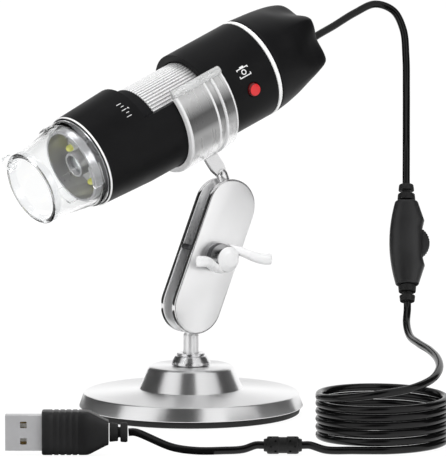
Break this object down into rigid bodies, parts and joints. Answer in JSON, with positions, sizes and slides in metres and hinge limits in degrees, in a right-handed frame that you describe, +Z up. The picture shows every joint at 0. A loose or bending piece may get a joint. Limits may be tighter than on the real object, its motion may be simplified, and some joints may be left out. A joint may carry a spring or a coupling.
{
  "type": "usb digital microscope",
  "caption": "Handheld USB microscope barrel with focus wheel and clear nose cap, clipped on a ball-jointed arm with a round weighted base, with cord, dial and plug.",
  "frame": {"origin": "centre of the round base's underside, on the surface that it stands on", "axes": "+Z up, +X to the right and -Y towards the viewer of the picture; the arm and barrel head 35.3 degrees from +X towards +Y"},
  "size_m": [0.1541, 0.1562, 0.1393],
  "materials": {
    "base_steel": "spun and brushed stainless steel",
    "rubber": "matt black rubber",
    "iron": "plain",
    "chrome": "polished bright plating",
    "clip_gloss": "glossy silver plated plastic",
    "black_satin": "satin soft-touch black",
    "black_gloss": "gloss black",
    "silver_paint": "silver painted plastic",
    "clear": "clear acrylic",
    "grey_plastic": "satin grey",
    "white_plastic": "white translucent plastic",
    "lamp": "clear yellow lamp",
    "lens": "coated glass",
    "circuit": "green solder mask",
    "red_button": "semi-gloss red",
    "cord": "semi-gloss black vinyl",
    "plug_steel": "stamped and plated"
  },
  "bodies": {
    "root": {"base_shell": "base_steel", "base_pad": "rubber", "base_weight": "iron", "post_collar": "base_steel", "post_nut": "iron", "cord_coil": "cord", "cord_run_a": "cord", "ferrite_core": "black_satin", "cord_run_b": "cord", "plug_relief": "rubber", "plug_grip": "black_satin", "plug_shell": "plug_steel", "plug_tongue": "white_plastic"},
    "post": {"ball_post": "chrome"},
    "arm": {"rear_plate": "chrome", "front_plate": "chrome", "spacer_tab": "iron", "clamp_screw": "chrome", "clamp_washer": "chrome"},
    "nut": {"wing_nut": "chrome"},
    "head_ball": {"upper_ball": "chrome"},
    "clip": {"clip_tongue": "chrome", "clip_ring": "clip_gloss"},
    "scope": {"housing": "black_satin", "index_ring": "black_satin", "reflector_cup": "grey_plastic", "clear_cap": "clear", "led_board": "white_plastic", "led_1": "lamp", "led_2": "lamp", "led_3": "lamp", "led_4": "lamp", "led_5": "lamp", "led_6": "lamp", "led_7": "lamp", "led_8": "lamp", "sensor_board": "circuit", "image_sensor": "black_gloss", "main_board": "circuit", "tact_switch": "grey_plastic", "light_ring": "white_plastic", "tail_cap": "black_satin", "cord_gland": "rubber", "cord_upper": "cord", "control_front": "black_satin", "control_back": "black_satin", "control_screw": "plug_steel", "control_relief_top": "rubber", "control_relief_bottom": "rubber", "cord_middle": "cord"},
    "focus": {"focus_wheel": "silver_paint"},
    "carriage": {"lens_carriage": "grey_plastic", "lens_barrel": "black_satin", "objective_lens": "lens"},
    "button": {"snap_button": "red_button"},
    "dial": {"control_dial": "black_gloss"}
  },
  "joints": [
    {"name": "post_swivel", "type": "hinge", "parent": "root", "child": "post", "pos_m": [0, 0, 0.0382], "axis": [0, 0, 1], "range_deg": [-180, 180], "deforming": ["cord_middle"]},
    {"name": "arm_tilt", "type": "hinge", "parent": "post", "child": "arm", "pos_m": [0, 0, 0.0382], "axis": [-0.5779, 0.8161, 0], "range_deg": [-60, 20], "deforming": ["cord_middle"]},
    {"name": "head_tilt", "type": "hinge", "parent": "arm", "child": "head_ball", "pos_m": [0.01322, 0.00936, 0.07564], "axis": [-0.5779, 0.8161, 0], "range_deg": [-20, 25], "deforming": ["cord_middle"]},
    {"name": "head_swivel", "type": "hinge", "parent": "head_ball", "child": "clip", "pos_m": [0.01322, 0.00936, 0.07564], "axis": [-0.2991, -0.2118, 0.9304], "range_deg": [-90, 90], "deforming": ["cord_middle"]},
    {"name": "barrel_slide", "type": "slide", "parent": "clip", "child": "scope", "axis": [0.7593, 0.5376, 0.3665], "range_m": [-0.006, 0.012], "deforming": ["cord_middle"]},
    {"name": "focus_turn", "type": "hinge", "parent": "scope", "child": "focus", "pos_m": [-0.03844, -0.01041, 0.08973], "axis": [0.7593, 0.5376, 0.3665], "range_deg": [-150, 150]},
    {"name": "lens_slide", "type": "slide", "parent": "scope", "child": "carriage", "axis": [0.7593, 0.5376, 0.3665], "range_m": [-0.0036, 0.0036]},
    {"name": "shutter_press", "type": "slide", "parent": "scope", "child": "button", "axis": [-0.5946, 0.8021, 0.0552], "range_m": [0, 0.0006], "stiffness_N_per_m": 800, "springref_m": -0.0004},
    {"name": "dial_turn", "type": "hinge", "parent": "scope", "child": "dial", "pos_m": [0.0775, 0.0101, 0.0585], "axis": [0, 0.8988, -0.4384], "range_deg": [-130, 130]},
    {"name": "nut_turn", "type": "hinge", "parent": "arm", "child": "nut", "pos_m": [0.00592, 0.00419, 0.05495], "axis": [0.5779, -0.8161, 0], "range_deg": [0, 540]}
  ],
  "couplings": [
    {"joint": "lens_slide", "follows": "focus_turn", "m_per_rad": 0.001337}
  ]
}
